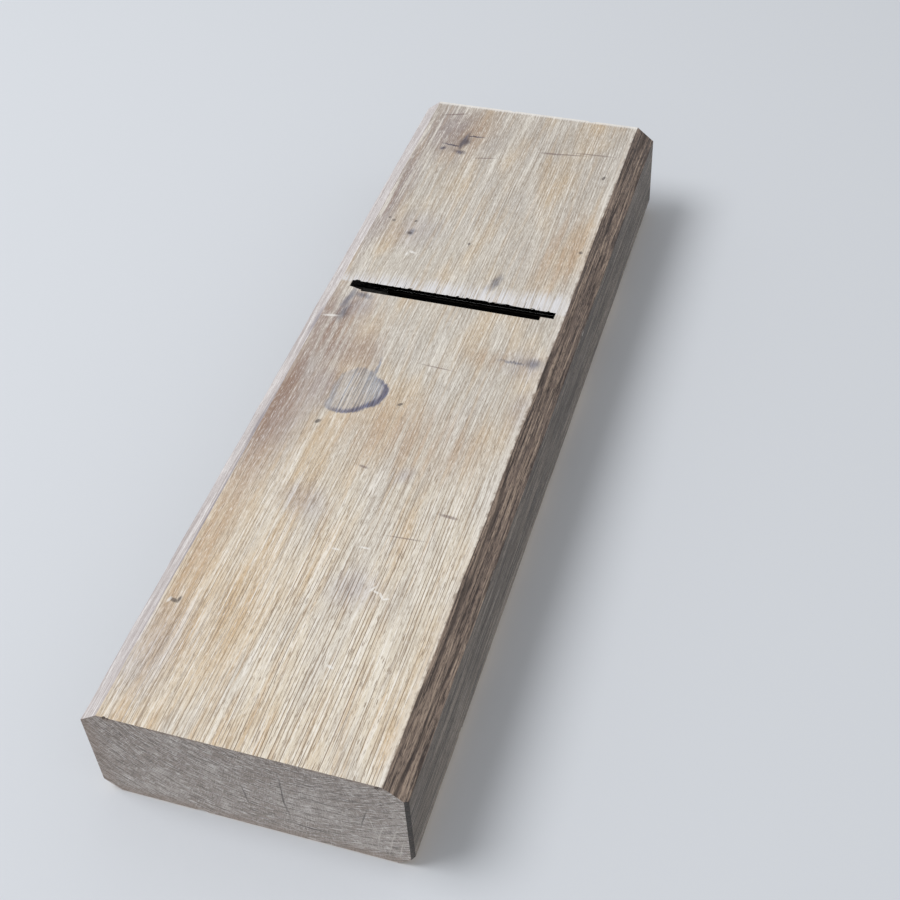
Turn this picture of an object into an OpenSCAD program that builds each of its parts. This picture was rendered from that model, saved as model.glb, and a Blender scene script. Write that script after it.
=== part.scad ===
// Japanese hand plane: an oak block with a sloped bed, a wedge-shaped laminated iron that slides
// in side grooves, a laminated chip breaker that lies on the iron, and a steel pin across both.
// The block stands on its sole, with the origin at the sole's centre. X runs across the block,
// Y along it towards the struck end, and Z up. The left side is -X, seen from the front end.
// The iron is drawn back from its working place, so the mouth in the sole is clear.

/* [Block] */
// Length of the block, from the front end to the struck end
block_length = 270; // [255:1:300]
// Width of the block
block_width = 82; // [78:0.5:95]
// Thickness of the block, from the sole to the upper face
block_height = 33; // [30:0.5:38]
// Chamfer between the sole and the left side, measured across the sole
left_sole_chamfer_width = 5.5; // [1:0.1:7]
// Chamfer between the sole and the left side, measured up the side
left_sole_chamfer_height = 4.5; // [1:0.1:7]
// Chamfer between the sole and the right side, measured across the sole
right_sole_chamfer_width = 4.65; // [1:0.05:7]
// Chamfer between the sole and the right side, measured up the side
right_sole_chamfer_height = 3.3; // [1:0.1:7]
// Chamfers along the upper face, measured across that face
upper_chamfer_width = 4; // [1:0.1:6]
// Chamfers along the upper face, measured down the sides
upper_chamfer_height = 3.2; // [1:0.1:5]
// Chamfer on the struck end's upper edge
struck_chamfer = 2.5; // [1:0.1:6]
// Chamfer on the upright corner between the front end and the left side
front_corner_chamfer = 0.9; // [0.3:0.1:3]

/* [Mouth and throat] */
// Distance from the front end to the edge of the mouth where the bed begins
mouth_from_front = 167.3; // [150:0.5:185]
// Slope of the bed, its rise over its run along the sole
bed_slope = 0.8; // [0.75:0.01:0.86]
// Length of the mouth's wider part, where the side grooves reach the sole
groove_mouth = 2.8; // [2.4:0.1:3.6]
// Length of the mouth's narrower part, in front of the side grooves
mouth_gap = 1.64; // [1:0.02:4]
// Height of the upright wall above the front edge of the mouth
throat_wall = 6; // [3:0.5:10]
// Angle between the sole and the throat's front slope
throat_angle = 55; // [45:1:70]

/* [Iron] */
// Length of the iron, from its cutting edge to its head
iron_length = 92; // [84:1:105]
// Width of the iron, its sides carried on to the cutting edge
iron_width = 64.4; // [62:0.2:67]
// Angle by which each side of the iron flares towards the head
iron_flare = 0.9; // [0:0.1:1.4]
// Angle between the iron's two faces, thin at the edge and thick at the head
iron_wedge = 3.4; // [2.5:0.1:4]
// Angle of the ground bevel
iron_bevel = 28; // [24:1:34]
// Height of the ground corners above the cutting edge
edge_corner = 7; // [4:0.5:12]
// Radius of the iron's arched head
iron_head_radius = 150; // [90:5:400]
// Chamfer on the corners of the iron's head
iron_head_corner = 7; // [2:0.5:12]
// Thickness of the hard steel layer on the iron's front face
iron_steel_thickness = 0.7; // [0.4:0.1:1.2]
// Length of the hard steel layer, from the cutting edge
iron_steel_length = 54; // [40:1:70]
// Depth of the ground hollow in the steel face
hollow_depth = 0.3; // [0.1:0.1:0.3]
// Width of the flat rim left round the hollow
hollow_rim = 6; // [3:0.5:10]
// Radius of the hollow's corners
hollow_corner = 8; // [4:1:12]
// Distance along the bed from the iron's working place to where it is shown
iron_drawn = 20; // [0:1:30]

/* [Chip breaker] */
// Length of the chip breaker, from its lip to its head
breaker_length = 74; // [64:1:82]
// Thickness of the chip breaker behind its lip
breaker_thickness = 2; // [1.6:0.1:2.6]
// Angle between the chip breaker's two faces
breaker_wedge = 1.2; // [0.6:0.1:2]
// Height of the bent ears that lift the chip breaker's head off the iron
ear_height = 2; // [1:0.1:3]
// Size of each bent ear along the head and along the side
ear_size = 9; // [6:0.5:12]
// Thickness of each ear where it stands on the iron
ear_thickness = 2; // [1:0.2:3]
// Radius of the chip breaker's arched head
breaker_head_radius = 150; // [90:5:400]
// Thickness of the blunt lip
lip_thickness = 0.3; // [0.2:0.05:0.6]
// Angle of the lip's front slope
lip_angle = 50; // [35:1:70]
// Thickness of the hard steel layer under the lip
breaker_steel_thickness = 0.6; // [0.4:0.1:1]
// Length of the hard steel layer, from the lip
breaker_steel_length = 26; // [15:1:40]
// Distance from the cutting edge to the lip when both are in their working place
lip_setback = 0.6; // [0.3:0.1:3]
// Distance along the iron from the chip breaker's working place to where it is shown
breaker_drawn = 4; // [0:0.5:15]

/* [Cross pin] */
// Diameter of the cross pin
pin_diameter = 5; // [4:0.1:6]
// Depth of the pin's axis below the upper face
pin_depth = 9.5; // [8:0.5:12]
// Length of the pin held in the left cheek
pin_seat = 8; // [4:0.5:9]
// Depth of the pin's end below the surface of the right side
pin_recess = 0.5; // [0:0.1:2]

/* [Fits] */
// Depth of the side grooves beside the iron's cutting edge, from the cheeks of the throat
groove_depth = 4.1; // [3:0.1:5]
// Distance from each cheek of the throat to the end of the cutting edge
edge_inset = 0.8; // [0.4:0.1:3]
// Gap between each side of the chip breaker and the cheek beside it
breaker_play = 0.6; // [0.3:0.1:2]
// Distance by which the bent ears stand back from the chip breaker's outline
ear_inset = 0.3; // [0.2:0.1:1]
// Gap between faces that slide on each other
slide_gap = 0.05; // [0.02:0.01:0.1]
// Gap between each side of the iron and its groove
side_play = 0.2; // [0.1:0.05:0.4]
// Gap around the pin in its holes
pin_gap = 0.01; // [0.01:0.01:0.05]

/* [Hidden] */
$fn = 96;

OAK = [0.73, 0.65, 0.54];
PIN_STEEL = [0.42, 0.40, 0.38];
SOFT_IRON = [0.27, 0.25, 0.24];
HARD_STEEL = [0.62, 0.63, 0.64];

// How far each cut runs past the surface that it opens
OVERCUT = 2;
// How many times its own thickness a hard steel layer takes to run out at its upper end
FEATHER = 4;

// A point of a side view, turned by an angle
function turned(point, angle) = [
    point.x * cos(angle) - point.y * sin(angle),
    point.x * sin(angle) + point.y * cos(angle)
];

bed_angle = atan(bed_slope);
bed_y = mouth_from_front - block_length / 2;
mouth_front_y = bed_y - groove_mouth - mouth_gap;
cheek_gap = iron_width + 2 * side_play - 2 * groove_depth;
edge_width = cheek_gap - 2 * edge_inset;
breaker_width = cheek_gap - 2 * breaker_play;

// Side views on the bed run along it from the sole, and straight out of it.
// The groove's wall that faces the bed starts at the sole and opens with the iron's wedge.
wall_start = turned([-groove_mouth, 0], -bed_angle);
function wall_out(along) = wall_start.y + (along - wall_start.x) * tan(iron_wedge);

// In its working place the iron's edge is level with the sole and its face just clears the wall
face_out = wall_start.y - slide_gap / cos(iron_wedge);
edge_along = -face_out / tan(bed_angle);
edge_out = wall_out(edge_along) - slide_gap / cos(iron_wedge);
bevel_length = (edge_out - slide_gap) / tan(iron_bevel - iron_wedge);
function iron_out(along) = edge_out + along * tan(iron_wedge);
function iron_half_width(along) = iron_width / 2 + along * tan(iron_flare);

// The chip breaker's plate leans away from the iron's face by the height of its ears
breaker_lean = asin(ear_height / (breaker_length - ear_size / 2));
breaker_face_lean = breaker_lean + breaker_wedge;
function breaker_top(along) = breaker_thickness + along * tan(breaker_wedge);
lip_slope = (breaker_thickness - lip_thickness) / (tan(lip_angle) - tan(breaker_wedge));

// The pin's axis lies at its depth, just clear of the working chip breaker's upper face
pin_radius = pin_diameter / 2;
pin_z = block_height - pin_depth;
lip_place = [edge_along, edge_out] + turned([lip_setback, slide_gap], iron_wedge)
    + turned([0, breaker_thickness], iron_wedge + breaker_lean);
face_start = [bed_y, 0] + turned(lip_place, bed_angle);
face_angle = bed_angle + iron_wedge + breaker_face_lean;
pin_standoff = pin_radius + slide_gap;
pin_along = (pin_z - face_start.y - pin_standoff * cos(face_angle)) / sin(face_angle);
pin_y = (face_start + turned([pin_along, pin_standoff], face_angle)).x;
pin_inner_x = -cheek_gap / 2 - pin_seat;
pin_outer_x = block_width / 2 - pin_recess;

// Extrudes a side view across the block, the same way to each side
module across(width) {
    rotate([90, 0, 90]) linear_extrude(width, center = true) children();
}

// Places a shape on the bed, with its Y up along the bed and its Z straight out of it
module on_bed() {
    translate([0, bed_y, 0]) rotate([bed_angle, 0, 0]) children();
}

// Places a shape where the iron is shown, from the iron's edge on the bed
module at_iron() {
    on_bed() translate([0, edge_along + iron_drawn, 0]) children();
}

// Places a shape where the chip breaker is shown, from its lip on the iron's face
module at_breaker() {
    at_iron() translate([0, 0, edge_out]) rotate([iron_wedge, 0, 0])
        translate([0, lip_setback + breaker_drawn, slide_gap]) children();
}

module block_end_view() {
    side = block_width / 2;
    polygon([
        [-side, left_sole_chamfer_height],
        [-side + left_sole_chamfer_width, 0],
        [side - right_sole_chamfer_width, 0],
        [side, right_sole_chamfer_height],
        [side, block_height - upper_chamfer_height],
        [side - upper_chamfer_width, block_height],
        [-side + upper_chamfer_width, block_height],
        [-side, block_height - upper_chamfer_height]
    ]);
}

module block_plan() {
    side = block_width / 2;
    end = block_length / 2;
    polygon([
        [-side, front_corner_chamfer - end],
        [front_corner_chamfer - side, -end],
        [side, -end],
        [side, end],
        [-side, end]
    ]);
}

module block_side_view() {
    end = block_length / 2;
    polygon([
        [-end, 0],
        [end, 0],
        [end, block_height - struck_chamfer],
        [end - struck_chamfer, block_height],
        [-end, block_height]
    ]);
}

// The hollow between the cheeks: the mouth, the throat's front slope and the bed behind it
module throat() {
    top = block_height + OVERCUT;
    across(cheek_gap) polygon([
        [mouth_front_y, -OVERCUT],
        [mouth_front_y, throat_wall],
        [mouth_front_y - (top - throat_wall) / tan(throat_angle), top],
        [bed_y + top / tan(bed_angle), top],
        [bed_y - OVERCUT / tan(bed_angle), -OVERCUT]
    ]);
}

// The slot for the iron: the bed at full width, with a groove into each cheek
module iron_slot() {
    low = wall_start.x - OVERCUT;
    high = (block_height + OVERCUT) / sin(bed_angle);
    low_half = iron_half_width(low - edge_along) + side_play;
    high_half = iron_half_width(high - edge_along) + side_play;
    on_bed() intersection() {
        across(2 * high_half) polygon([
            [low, 0],
            [high, 0],
            [high, wall_out(high)],
            [low, wall_out(low)]
        ]);
        linear_extrude(wall_out(high)) polygon([
            [-low_half, low],
            [low_half, low],
            [high_half, high],
            [-high_half, high]
        ]);
    }
}

// A round bar along the pin's axis, from one X to another
module pin_bar(radius, from_x, to_x) {
    translate([from_x, pin_y, pin_z]) rotate([0, 90, 0])
        cylinder(h = to_x - from_x, r = radius);
}

module block() {
    color(OAK) difference() {
        intersection() {
            rotate([90, 0, 0]) linear_extrude(block_length, center = true) block_end_view();
            linear_extrude(block_height) block_plan();
            across(block_width) block_side_view();
        }
        throat();
        iron_slot();
        pin_bar(pin_radius + pin_gap, pin_inner_x, block_width / 2 + OVERCUT);
    }
}

module cross_pin() {
    color(PIN_STEEL) pin_bar(pin_radius, pin_inner_x, pin_outer_x);
}

// A plate's outline cut by an arched head
module arched(length, radius) {
    intersection() {
        children();
        translate([0, length - radius]) circle(radius, $fn = 2 * $fn);
    }
}

// The whole wedge-shaped iron, both of its metals
module iron_shape() {
    shoulder = iron_length - iron_head_corner;
    head_half = iron_half_width(iron_length) - iron_head_corner;
    intersection() {
        across(2 * iron_half_width(iron_length)) polygon([
            [0, edge_out],
            [bevel_length, slide_gap],
            [iron_length, slide_gap],
            [iron_length, iron_out(iron_length)]
        ]);
        linear_extrude(iron_out(iron_length)) arched(iron_length, iron_head_radius) polygon([
            [-edge_width / 2, 0],
            [edge_width / 2, 0],
            [iron_half_width(edge_corner), edge_corner],
            [iron_half_width(shoulder), shoulder],
            [head_half, iron_length],
            [-head_half, iron_length],
            [-iron_half_width(shoulder), shoulder],
            [-iron_half_width(edge_corner), edge_corner]
        ]);
    }
}

// The zone of hard steel under the iron's front face, feathered out at its upper end
module iron_steel_zone() {
    under = iron_steel_thickness / cos(iron_wedge);
    feather = FEATHER * iron_steel_thickness;
    across(2 * iron_half_width(iron_length)) polygon([
        [-OVERCUT, iron_out(-OVERCUT) - under],
        [iron_steel_length - feather, iron_out(iron_steel_length - feather) - under],
        [iron_steel_length, iron_out(iron_steel_length)],
        [iron_steel_length, iron_out(iron_steel_length) + OVERCUT],
        [-OVERCUT, iron_out(iron_steel_length) + OVERCUT]
    ]);
}

module iron_body() {
    color(SOFT_IRON) at_iron() difference() {
        iron_shape();
        iron_steel_zone();
    }
}

// The shallow hollow ground into the steel face, inside a flat rim that leaves the edge whole
module hollow() {
    half = iron_width / 2 - hollow_rim - hollow_corner;
    low = edge_corner + hollow_corner;
    high = iron_steel_length - hollow_rim - hollow_corner;
    translate([0, 0, edge_out]) rotate([iron_wedge, 0, 0]) translate([0, 0, -hollow_depth])
        linear_extrude(OVERCUT) union() {
            for (x = [-half, half], y = [low, high])
                translate([x, y]) circle(hollow_corner);
            translate([-half, low - hollow_corner]) square([2 * half, high - low + 2 * hollow_corner]);
            translate([-half - hollow_corner, low]) square([2 * (half + hollow_corner), high - low]);
        }
}

module iron_steel() {
    color(HARD_STEEL) at_iron() difference() {
        intersection() {
            iron_shape();
            iron_steel_zone();
        }
        hollow();
    }
}

// The chip breaker's plate with its blunt lip, lying back from the iron's face
module breaker_plate() {
    half = breaker_width / 2;
    shoulder = breaker_length - ear_size;
    head_half = half - ear_size;
    rotate([breaker_lean, 0, 0]) intersection() {
        across(breaker_width) polygon([
            [0, 0],
            [breaker_length, 0],
            [breaker_length, breaker_top(breaker_length)],
            [lip_slope, breaker_top(lip_slope)],
            [0, lip_thickness]
        ]);
        linear_extrude(breaker_top(breaker_length)) arched(breaker_length, breaker_head_radius)
            polygon([
                [-half, 0],
                [half, 0],
                [half, shoulder],
                [head_half, breaker_length],
                [-head_half, breaker_length],
                [-half, shoulder]
            ]);
    }
}

// The two corners of the head, bent down until they stand on the iron's face
module breaker_ears() {
    half = breaker_width / 2 - ear_inset;
    shoulder = breaker_length - ear_size - ear_inset;
    for (side = [-1, 1])
        linear_extrude(ear_height + breaker_thickness / 2) polygon([
            [side * half, shoulder - ear_thickness],
            [side * half, shoulder],
            [side * (half - ear_size / 2), shoulder + ear_size / 2],
            [side * (half - ear_size / 2), shoulder + ear_size / 2 - ear_thickness]
        ]);
}

module breaker_steel_zone() {
    rotate([breaker_lean, 0, 0]) across(breaker_width + OVERCUT) polygon([
        [-OVERCUT, -OVERCUT],
        [breaker_steel_length, -OVERCUT],
        [breaker_steel_length, 0],
        [breaker_steel_length - FEATHER * breaker_steel_thickness, breaker_steel_thickness],
        [-OVERCUT, breaker_steel_thickness]
    ]);
}

module breaker_body() {
    color(SOFT_IRON) at_breaker() difference() {
        union() {
            breaker_plate();
            breaker_ears();
        }
        breaker_steel_zone();
    }
}

module breaker_steel() {
    color(HARD_STEEL) at_breaker() intersection() {
        breaker_plate();
        breaker_steel_zone();
    }
}

block();
cross_pin();
iron_body();
iron_steel();
breaker_body();
breaker_steel();
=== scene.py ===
"""A japanese hand plane: an oak block, its laminated iron and chip breaker, and the steel pin across them.

The block stands on its sole, with the origin at the sole's centre, X across it, Y towards the
struck end and Z up, in metres. The camera looks at the sole from below, as the photograph does.
"""
import math

import bmesh
import bpy
from mathutils import Matrix, Vector, noise


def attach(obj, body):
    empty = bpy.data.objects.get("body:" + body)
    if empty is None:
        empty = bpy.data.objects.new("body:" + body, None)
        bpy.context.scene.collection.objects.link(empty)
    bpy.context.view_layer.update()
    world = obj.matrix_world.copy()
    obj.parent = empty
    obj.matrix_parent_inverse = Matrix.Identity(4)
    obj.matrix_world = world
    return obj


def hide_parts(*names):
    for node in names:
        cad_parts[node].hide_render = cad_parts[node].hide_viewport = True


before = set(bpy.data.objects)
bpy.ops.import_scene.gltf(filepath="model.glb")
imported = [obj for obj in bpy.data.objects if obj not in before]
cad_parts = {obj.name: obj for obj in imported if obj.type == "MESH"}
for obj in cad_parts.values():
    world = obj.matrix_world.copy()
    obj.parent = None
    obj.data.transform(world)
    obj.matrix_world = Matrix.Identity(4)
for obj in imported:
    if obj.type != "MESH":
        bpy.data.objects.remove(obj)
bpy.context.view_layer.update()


# The photograph's view. The plane lies on its upper face with its sole up, so the camera stands
# below the sole, to the left of the front end. Its place was found from the block's corners.

CAMERA_AT = Vector((-0.11278, -0.29066, -0.28258))
CAMERA_RIGHT = Vector((-0.95399, 0.29649, 0.04475))
CAMERA_UP = Vector((0.18242, 0.69232, -0.69815))
CAMERA_LENS = 57.88
SENSOR_WIDTH = 36

lens = bpy.data.cameras.new("photograph")
lens.lens = CAMERA_LENS
lens.sensor_width = SENSOR_WIDTH
lens.clip_start = 0.01
camera = bpy.data.objects.new("photograph", lens)
turn = Matrix((CAMERA_RIGHT, CAMERA_UP, CAMERA_RIGHT.cross(CAMERA_UP))).transposed()
camera.matrix_world = Matrix.Translation(CAMERA_AT) @ turn.to_4x4()
bpy.context.collection.objects.link(camera)
bpy.context.scene.camera = camera
bpy.context.scene.view_settings.view_transform = "Standard"


# The block. One length of dry white oak, sawn square, its long edges taken off with a plane. The
# throat, the bed and the iron's grooves are chopped out of it, and the pin's hole is drilled
# through the right cheek into the left one. The sole is freshly planed, the rest is old and grey.

BLOCK_LENGTH = 0.270
BLOCK_WIDTH = 0.082
BLOCK_HEIGHT = 0.033
LEFT_SOLE_CHAMFER = (0.0055, 0.0045)
RIGHT_SOLE_CHAMFER = (0.00465, 0.0033)
UPPER_CHAMFER = (0.004, 0.0032)
STRUCK_CHAMFER = 0.0025
FRONT_CORNER_CHAMFER = 0.0009
MOUTH_FRONT = 0.02786
MOUTH_BACK = 0.0323
BED_SLOPE = 0.8
THROAT_WALL = 0.006
THROAT_ANGLE = math.radians(55)
CHEEK_GAP = 0.0566
OVERCUT = 0.002

block_side = BLOCK_WIDTH / 2
block_end = BLOCK_LENGTH / 2
bed_angle = math.atan(BED_SLOPE)


def shade(red, green, blue):
    """A colour as it is read off the wood or metal, each part 0 to 255, in the shader's own numbers."""
    parts = [part / 255 for part in (red, green, blue)]
    return [*(((part + 0.055) / 1.055) ** 2.4 for part in parts), 1.0]


def add(finish, kind, settings=None, inputs=None):
    """Adds a shader node of a kind to a finish, and sets or joins its inputs."""
    node = finish.node_tree.nodes.new("ShaderNode" + kind)
    for name, value in (settings or {}).items():
        setattr(node, name, value)
    for socket, value in (inputs or {}).items():
        if isinstance(value, bpy.types.NodeSocket):
            finish.node_tree.links.new(value, node.inputs[socket])
        else:
            node.inputs[socket].default_value = value
    return node


def sum_of(finish, how, first, second):
    """Two numbers put together, such as ADD, SUBTRACT or MAXIMUM."""
    return add(finish, "Math", {"operation": how}, {0: first, 1: second}).outputs[0]


def times(finish, first, second):
    """One number times another."""
    return sum_of(finish, "MULTIPLY", first, second)


def ramp(finish, value, low, high, start=0.0, end=1.0):
    """Start below low, end above high, and a smooth step between them."""
    levels = {"Value": value, "From Min": low, "From Max": high, "To Min": start, "To Max": end}
    return add(finish, "MapRange", {"interpolation_type": "SMOOTHSTEP"}, levels).outputs["Result"]


def laid_over(finish, amount, under, over, how="MIX"):
    """One colour over another, as much of it as the amount says."""
    kind = {"data_type": "RGBA", "blend_type": how}
    return add(finish, "Mix", kind, {0: amount, 6: under, 7: over}).outputs[2]


def painted(finish, colour, layers):
    """Colours laid over each other in turn, each given as how much, which and, at times, how it mixes."""
    for amount, over, *how in layers:
        colour = laid_over(finish, amount, colour, shade(*over), *how)
    return colour


def axes_of(finish, place):
    """The parts of a place across the block, along it and up."""
    return add(finish, "SeparateXYZ", None, {0: place}).outputs


def moved(finish, place, parts, reach):
    """A place moved along its axes by the given parts of the reach."""
    push = add(finish, "CombineXYZ", None, parts).outputs[0]
    push = add(finish, "VectorMath", {"operation": "SCALE"}, {0: push, "Scale": reach}).outputs[0]
    return add(finish, "VectorMath", {"operation": "ADD"}, {0: place, 1: push}).outputs[0]


def mottle(finish, place, size, detail=2.0, roughness=0.5):
    """Soft patches about that many metres across, from 0 to 1 and mostly near the middle."""
    inputs = {"Vector": place, "Scale": 1 / size, "Detail": detail, "Roughness": roughness}
    return add(finish, "TexNoise", None, inputs).outputs["Fac"]


def stretched(finish, place, scale, shift=(0, 0, 0), turned=(0, 0, 0)):
    """The same place squeezed along each axis, which draws a pattern on it out to streaks."""
    inputs = {"Vector": place, "Scale": scale, "Location": shift, "Rotation": turned}
    return add(finish, "Mapping", None, inputs).outputs[0]


def new_finish(name, roughness):
    """An empty finish: its material, with the shader's roughness set."""
    finish = bpy.data.materials.new(name)
    finish.use_nodes = True
    finish.node_tree.nodes["Principled BSDF"].inputs["Roughness"].default_value = roughness
    return finish


def coat(finish, colour, height, relief, roughness=None, metal=None):
    """Joins a colour, a surface height and, where it varies, a roughness to the finish's shader."""
    shader = finish.node_tree.nodes["Principled BSDF"]
    join = finish.node_tree.links.new
    join(colour, shader.inputs["Base Color"])
    if roughness is not None:
        join(roughness, shader.inputs["Roughness"])
    if metal is not None:
        join(metal, shader.inputs["Metallic"])
    bump = add(finish, "Bump", None, {"Strength": 1.0, "Distance": relief, "Height": height})
    join(bump.outputs[0], shader.inputs["Normal"])


def oak_grain(finish):
    """The oak's figure in the solid, running along the block, with its place first.

    After it come wide patches, bands a few millimetres across, streaks, single fibres and the
    broken dark lines of open pores.
    """
    place = add(finish, "TexCoord").outputs["Object"]
    waver = mottle(finish, stretched(finish, place, (1, 0.25, 1)), 0.020, 1.0)
    drift = moved(finish, place, {"X": waver, "Z": waver}, 0.0020)
    patches = mottle(finish, stretched(finish, drift, (1, 0.35, 1)), 0.013, 2.0)
    bands = mottle(finish, stretched(finish, drift, (1, 0.05, 1), (0.1, 0.3, 0.2)), 0.0017, 3.0, 0.55)
    streaks = mottle(finish, stretched(finish, drift, (1, 0.018, 1), (0.3, 0.1, 0.7)), 0.00048, 3.0, 0.65)
    fibres = mottle(finish, stretched(finish, drift, (1, 0.10, 1), (0.9, 0.5, 0.2)), 0.00021, 2.0, 0.6)
    slant = stretched(finish, drift, (1, 0.03, 1), turned=(0, 0.7, 0))
    wave = {"Vector": slant, "Scale": 450.0, "Distortion": 1.2, "Detail": 2.0, "Detail Scale": 1.3}
    lines = add(finish, "TexWave", {"bands_direction": "X"}, wave).outputs["Fac"]
    broken = mottle(finish, stretched(finish, drift, (1, 0.05, 1), (0.5, 0.2, 0.6)), 0.0014, 2.0)
    lines = times(finish, ramp(finish, lines, 0.22, 0.02), ramp(finish, broken, 0.38, 0.55))
    pores = mottle(finish, stretched(finish, drift, (1, 0.08, 1), (0.2, 0.8, 0.4)), 0.00032, 1.0)
    lines = sum_of(finish, "MAXIMUM", lines, ramp(finish, pores, 0.36, 0.27, 0.0, 0.9))
    return place, patches, bands, streaks, fibres, lines


MILLIMETRE = 0.001


def spots(finish, place, ovals):
    """1 inside any of the ovals and 0 outside them all.

    Each oval has its centre and half sizes in millimetres, then its turn and how soft its rim is.
    """
    mask = 0.0
    for at_x, at_y, half_x, half_y, turned, soft in ovals:
        oval = {"Vector": place, "Location": (at_x * MILLIMETRE, at_y * MILLIMETRE, 0),
                "Rotation": (0, 0, turned), "Scale": (half_x * MILLIMETRE, half_y * MILLIMETRE, 1)}
        local = add(finish, "Mapping", {"vector_type": "TEXTURE"}, oval).outputs[0]
        away = add(finish, "VectorMath", {"operation": "LENGTH"}, {0: local}).outputs["Value"]
        mask = sum_of(finish, "MAXIMUM", mask, ramp(finish, away, 1 - soft, 1 + soft, 1.0, 0.0))
    return mask


# Where the sole is marked, each mark given as an oval across and along it
INK_MARKS = (
    (20.9, 112.8, 0.8, 5.2, 0.05, 0.6),
    (20.3, 112.8, 1.7, 2.6, 0.2, 0.7),
    (18, 116.4, 3.4, 0.4, -0.10, 0.6),
    (23.7, 109.8, 3.4, 0.4, 0.12, 0.6),
    (26.8, 107.4, 0.7, 0.9, 0.6, 0.8),
    (20.6, 106.4, 1.8, 1.1, 0.2, 0.9),
)
FAINT_SCRATCHES = (
    (-10.4, 112.6, 3.6, 0.5, -0.05, 0.6),
    (-15.5, 113.2, 6, 0.3, -0.12, 0.7),
    (-24.5, 115.2, 6, 0.3, -0.05, 0.8),
    (28.7, 128.2, 4, 0.4, -0.31, 0.7),
    (11, 104.8, 3.2, 0.3, -0.20, 0.8),
    (2.2, -42.5, 1.3, 0.4, 0.2, 0.6),
    (-25.6, -54, 2.6, 0.5, 0.1, 0.6),
    (-5.2, 0.4, 4.2, 0.2, 0.06, 0.9),
    (-17, -64, 4, 0.2, -0.05, 0.9),
)
DARK_DOTS = (
    (-30.7, 102.9, 0.5, 1.1, 0.2, 0.4),
    (-32.7, 62.4, 0.6, 0.7, 0.0, 0.5),
    (2.6, 58.3, 0.4, 0.6, 0.0, 0.6),
    (22.8, 65.7, 0.4, 0.6, 0.4, 0.6),
    (29.9, 64.5, 0.5, 0.6, 0.0, 0.8),
    (31.7, 65.7, 0.4, 0.4, 0.0, 0.8),
    (22.7, 59.2, 0.7, 0.6, 0.0, 0.7),
    (0.3, -16.9, 0.5, 0.8, 0.9, 0.4),
    (20.7, -29.1, 0.6, 0.9, 0.5, 0.4),
    (32.8, -98.4, 1.3, 0.6, 0.2, 0.5),
    (31.6, -97.8, 0.4, 1, 0.1, 0.5),
)
SMUDGES = (
    (-10.8, 41.6, 1.2, 3.4, 0.30, 0.9),
    (30.6, 23.8, 0.9, 5.6, 0.14, 0.8),
    (30, 17.2, 1.3, 3.4, 0.10, 0.9),
    (27, 26.2, 3, 1, 0.10, 0.9),
    (-32.2, 8.8, 3, 1.8, 0.1, 0.9),
    (-26.2, 8, 4, 0.5, 0.0, 0.9),
    (22.5, 60, 1, 1.6, 0.2, 0.9),
)
# Wide places that have greyed a little
GREY_PATCHES = (
    (26.2, 21.5, 4, 4.4, 0.10, 0.9),
    (-30, 7.5, 6, 5, 0.3, 0.9),
    (-33.5, -11, 3.4, 7, 0.1, 0.9),
    (22.5, 61, 7, 8, 0.2, 0.9),
    (14, -58, 6, 4.5, 0.5, 0.9),
    (-9.5, -43, 2, 3, 0.5, 0.9),
    (30, -29, 6.5, 20, 0.0, 0.9),
    (-10, -83, 6, 5, 0.0, 0.9),
    (32.5, -113, 7, 13, 0.0, 0.9),
)
# Places along the sole's right edge that are darker and greyer
DULL_PATCHES = (
    (34, 11, 7.8, 17, 0.0, 0.8),
    (35, -19, 5.5, 34, 0.0, 0.9),
    (23.5, 1, 10, 7, 0.0, 0.9),
    (24.5, -13, 3.6, 8, 0.0, 0.9),
    (34.5, 80, 4, 30, 0.0, 0.9),
    (25, 118, 12, 14, 0.0, 0.9),
)
BROWN_PATCHES = (
    (27, 6, 11, 17, 0.0, 0.8),
    (33, 17.5, 3, 1.2, 0.0, 0.8),
    (32, -22, 6, 20, 0.0, 0.9),
    (-18, 8, 5, 3.5, 0.0, 0.9),
    (-6, -29, 20, 11, 0.1, 0.9),
    (33, -70, 5, 26, 0.0, 0.9),
    (-28, 60, 8, 18, 0.0, 0.9),
)
WHITE_FLECKS = (
    (-14.4, -81.9, 0.3, 1.1, 0.5, 0.5),
    (-15.5, -82.7, 0.8, 0.3, 0.3, 0.5),
    (-17.2, -83.6, 0.3, 1.2, -0.6, 0.5),
    (-18.6, -84.2, 0.8, 0.3, -0.4, 0.5),
    (-12.4, -107.2, 0.9, 0.4, 0.4, 0.6),
    (18.9, 50, 1.1, 0.5, 0.3, 0.6),
    (20.3, 48.8, 0.4, 0.9, 0.2, 0.6),
    (34.1, -98.5, 0.4, 0.9, 0.3, 0.6),
    (33.2, 14.8, 2.2, 0.5, -0.15, 0.6),
    (-0.8, -72, 1, 0.3, 0.0, 0.7),
    (-7.9, -69.7, 1.3, 0.3, 0.0, 0.7),
)
# The stain's outer rim and its pale middle, each as a few ovals
STAIN = (
    (15.2, -14, 6.4, 9, 0.0, 0.08),
    (11.2, -14.6, 6, 6.6, 0.0, 0.08),
    (15.2, -20.5, 6.6, 3.6, -0.25, 0.10),
    (11.7, -4, 0.5, 4.2, 0.0, 0.40),
)
STAIN_MIDDLE = (
    (16, -13.2, 6.4, 8.4, 0.0, 0.16),
    (12.8, -13.8, 5.7, 5.7, 0.0, 0.16),
    (16, -19, 6.2, 3.6, -0.25, 0.20),
)


def nudged(finish, place, sideways, lengthways, reach):
    """The place pushed about by two mottles, so that a mark drawn on it has an uneven rim."""
    parts = {"X": sum_of(finish, "SUBTRACT", sideways, 0.5), "Y": sum_of(finish, "SUBTRACT", lengthways, 0.5)}
    return moved(finish, place, parts, reach)


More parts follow.
